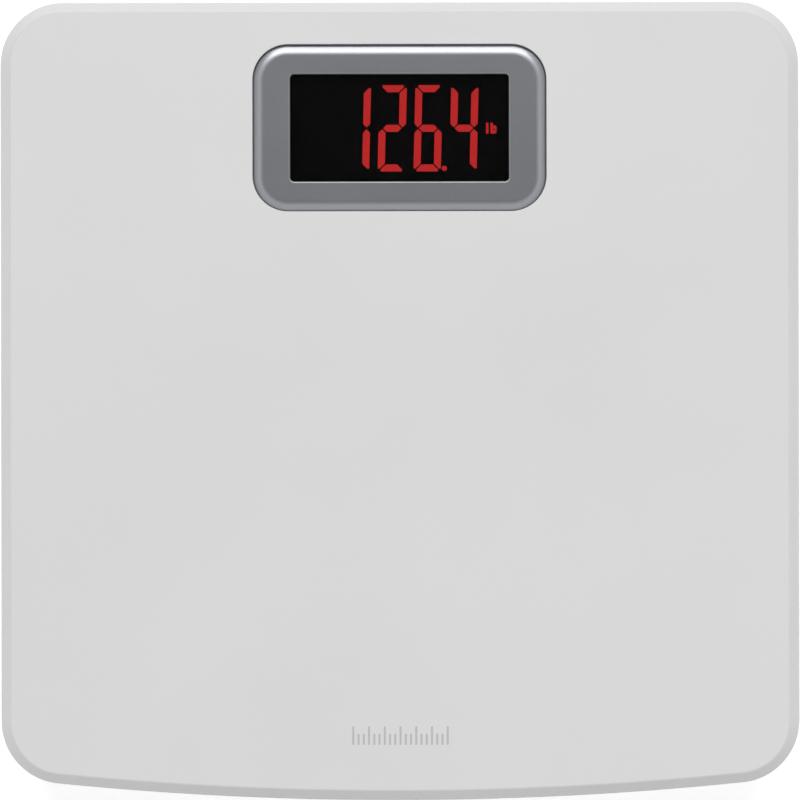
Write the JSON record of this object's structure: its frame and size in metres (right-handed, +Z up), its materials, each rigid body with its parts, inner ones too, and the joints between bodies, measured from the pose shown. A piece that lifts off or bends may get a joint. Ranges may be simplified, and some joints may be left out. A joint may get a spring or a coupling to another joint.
{
  "type": "digital bathroom scale",
  "caption": "Low square white bathroom scale with a bowed front edge and a silver-framed red digital display set in the rear of its top.",
  "frame": {"origin": "middle of the footprint, on the floor", "axes": "+X to the user's right, +Y to the rear where the display is, +Z up"},
  "size_m": [0.305, 0.305, 0.039],
  "materials": {
    "white_shell": "fine satin moulded ABS",
    "white_tray": "satin moulded ABS",
    "label_foil": "satin foil label",
    "screw_steel": "zinc plated",
    "silver_bezel": "silver-grey metallic paint",
    "black_tape": "matte",
    "smoked_lens": "polished smoked acrylic",
    "module_black": "matte black",
    "lit_red": "lit red diffuser",
    "unlit_red": "dark diffuser",
    "tinned_wire": "tinned",
    "board_green": "solder mask",
    "chip_black": "moulded epoxy",
    "crystal_can": "plated can",
    "capacitor_sleeve": "printed sleeve",
    "connector_ivory": "nylon",
    "button_grey": "satin",
    "battery_case": "wrapped case",
    "lead_red": "soft insulation",
    "lead_black": "soft insulation",
    "lead_white": "soft insulation",
    "pad_rubber": "matte rubber",
    "foot_grey": "satin",
    "cell_steel": "ground spring steel",
    "potting": "silicone potting",
    "seat_plastic": "moulded"
  },
  "bodies": {
    "housing": {"platform_shell": "white_shell", "base_tray": "white_tray", "rating_label": "label_foil", "housing_screws": "screw_steel", "seat_screws": "screw_steel", "board_screws": "screw_steel", "display_bezel": "silver_bezel", "lens_tape": "black_tape", "display_lens": "smoked_lens", "led_housing": "module_black", "lit_segments": "lit_red", "unlit_segments": "unlit_red", "led_pins": "tinned_wire", "main_board": "board_green", "controller_chip": "chip_black", "crystal": "crystal_can", "capacitors": "capacitor_sleeve", "resistors": "chip_black", "lead_sockets": "connector_ivory", "lead_plugs": "connector_ivory", "unit_switch_body": "chip_black", "battery": "battery_case", "battery_terminals": "crystal_can", "battery_snap": "module_black", "battery_lead_red": "lead_red", "battery_lead_black": "lead_black", "load_cell_front_left": "cell_steel", "strain_gauge_front_left": "potting", "cell_seat_front_left": "seat_plastic", "cell_leads_front_left": "lead_white", "load_cell_front_right": "cell_steel", "strain_gauge_front_right": "potting", "cell_seat_front_right": "seat_plastic", "cell_leads_front_right": "lead_white", "load_cell_rear_left": "cell_steel", "strain_gauge_rear_left": "potting", "cell_seat_rear_left": "seat_plastic", "cell_leads_rear_left": "lead_white", "load_cell_rear_right": "cell_steel", "strain_gauge_rear_right": "potting", "cell_seat_rear_right": "seat_plastic", "cell_leads_rear_right": "lead_white"},
    "unit_button": {"unit_switch_stem": "button_grey", "unit_button": "button_grey"},
    "battery_door": {"battery_door": "white_tray"},
    "foot_front_left": {"foot_pad_front_left": "pad_rubber", "foot_cup_front_left": "foot_grey"},
    "foot_front_right": {"foot_pad_front_right": "pad_rubber", "foot_cup_front_right": "foot_grey"},
    "foot_rear_left": {"foot_pad_rear_left": "pad_rubber", "foot_cup_rear_left": "foot_grey"},
    "foot_rear_right": {"foot_pad_rear_right": "pad_rubber", "foot_cup_rear_right": "foot_grey"}
  },
  "joints": [
    {"name": "foot_front_left_slide", "type": "slide", "parent": "housing", "child": "foot_front_left", "axis": [0, 0, 1], "range_m": [0, 0.0005], "stiffness_N_per_m": 2000, "springref_m": -0.002, "deforming": ["load_cell_front_left"]},
    {"name": "foot_front_right_slide", "type": "slide", "parent": "housing", "child": "foot_front_right", "axis": [0, 0, 1], "range_m": [0, 0.0005], "stiffness_N_per_m": 2000, "springref_m": -0.002, "deforming": ["load_cell_front_right"]},
    {"name": "foot_rear_left_slide", "type": "slide", "parent": "housing", "child": "foot_rear_left", "axis": [0, 0, 1], "range_m": [0, 0.0005], "stiffness_N_per_m": 2000, "springref_m": -0.002, "deforming": ["load_cell_rear_left"]},
    {"name": "foot_rear_right_slide", "type": "slide", "parent": "housing", "child": "foot_rear_right", "axis": [0, 0, 1], "range_m": [0, 0.0005], "stiffness_N_per_m": 2000, "springref_m": -0.002, "deforming": ["load_cell_rear_right"]},
    {"name": "unit_button_press", "type": "slide", "parent": "housing", "child": "unit_button", "axis": [0, 0, 1], "range_m": [0, 0.0005], "stiffness_N_per_m": 4000},
    {"name": "battery_door_hinge", "type": "hinge", "parent": "housing", "child": "battery_door", "pos_m": [0, 0.05655, 0.0085], "axis": [1, 0, 0], "range_deg": [0, 90]}
  ]
}
